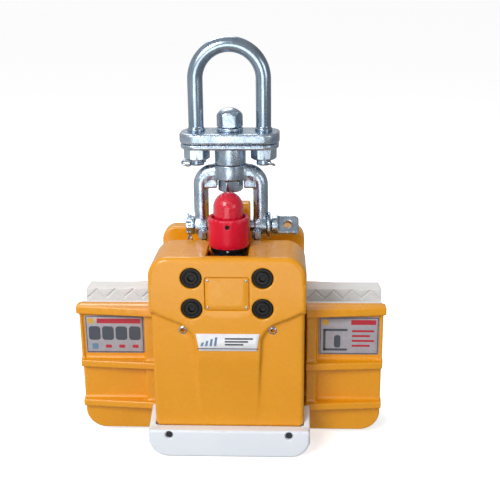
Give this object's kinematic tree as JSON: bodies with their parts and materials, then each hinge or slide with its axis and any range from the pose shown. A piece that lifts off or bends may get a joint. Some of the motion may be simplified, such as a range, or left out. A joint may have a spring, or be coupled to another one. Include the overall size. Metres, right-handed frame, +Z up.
{
  "type": "slab lifting clamp",
  "caption": "Self-gripping clamp that lifts upright stone slabs: two wide padded jaws across an open slot, a wedge-driven front jaw, a release latch and a swivel lifting bow.",
  "frame": {"origin": "on the load line, which is the swivel's own axis, level with the underside of the bumper shoe and the rear casing", "axes": "+Z up along the load line, +X to the right as seen from the front, -Y out of the front casing's face"},
  "size_m": [0.331, 0.146, 0.428],
  "materials": {
    "yellow_paint": "glossy, slightly orange-peeled",
    "zinc_plate": "bright zinc plating",
    "bright_steel": "ground and oiled",
    "dark_steel": "dark, oiled",
    "black_oxide": "black oxide",
    "red_paint": "glossy",
    "white_polyurethane": "satin, moulded",
    "white_badge": "printed plate",
    "grey_label": "printed plate"
  },
  "bodies": {
    "frame": {"front_casing": "yellow_paint", "rear_casing": "yellow_paint", "bridge": "yellow_paint", "bridge_studs": "zinc_plate", "casing_bolts": "black_oxide", "guide_screws": "zinc_plate", "name_panel": "yellow_paint", "panel_rivets": "zinc_plate", "badge_plate": "white_badge", "rear_wings": "yellow_paint", "rear_wing_ribs": "yellow_paint", "rear_pad": "white_polyurethane", "bumper": "white_polyurethane", "bumper_screws": "zinc_plate", "guide_rods": "bright_steel", "return_springs": "dark_steel"},
    "lift_bar": {"drive_frame": "dark_steel", "lug": "yellow_paint", "latch_collar": "black_oxide", "latch_sleeve": "red_paint", "latch_set_screw": "black_oxide"},
    "latch": {"latch_dome": "red_paint"},
    "jaw": {"front_jaw": "yellow_paint", "jaw_ribs": "yellow_paint", "jaw_posts": "yellow_paint", "jaw_lugs": "yellow_paint", "front_pad": "white_polyurethane", "jaw_cross_pins": "bright_steel", "jaw_guide_pins": "bright_steel", "left_label": "grey_label", "right_label": "grey_label"},
    "lower_bow": {"lower_bow": "zinc_plate", "cross_pin": "zinc_plate", "cross_pin_nut": "zinc_plate", "cross_pin_split_pin": "zinc_plate"},
    "swivel": {"swivel_plate_lower": "zinc_plate", "swivel_plate_upper": "zinc_plate", "upper_bow": "zinc_plate", "bow_nuts": "zinc_plate", "bow_split_pins": "zinc_plate", "swivel_bolt": "zinc_plate", "swivel_washer": "zinc_plate", "swivel_collar": "zinc_plate", "swivel_nut": "zinc_plate"}
  },
  "joints": [
    {"name": "lift_slide", "type": "slide", "parent": "frame", "child": "lift_bar", "axis": [0, 0, 1], "range_m": [0, 0.04], "stiffness_N_per_m": 400, "springref_m": -0.02, "deforming": ["return_springs"]},
    {"name": "jaw_slide", "type": "slide", "parent": "frame", "child": "jaw", "axis": [0, 1, 0], "range_m": [0, 0.02]},
    {"name": "latch_turn", "type": "hinge", "parent": "lift_bar", "child": "latch", "pos_m": [0, -0.044, 0.23], "axis": [0, 0, 1], "range_deg": [0, 90]},
    {"name": "bow_swing", "type": "hinge", "parent": "lift_bar", "child": "lower_bow", "pos_m": [0, 0, 0.228], "axis": [1, 0, 0], "range_deg": [-75, 12]},
    {"name": "swivel_turn", "type": "hinge", "parent": "lower_bow", "child": "swivel", "pos_m": [0, 0, 0.3], "axis": [0, 0, 1], "continuous": true}
  ],
  "couplings": [
    {"joint": "jaw_slide", "follows": "lift_slide", "ratio": 0.5}
  ]
}
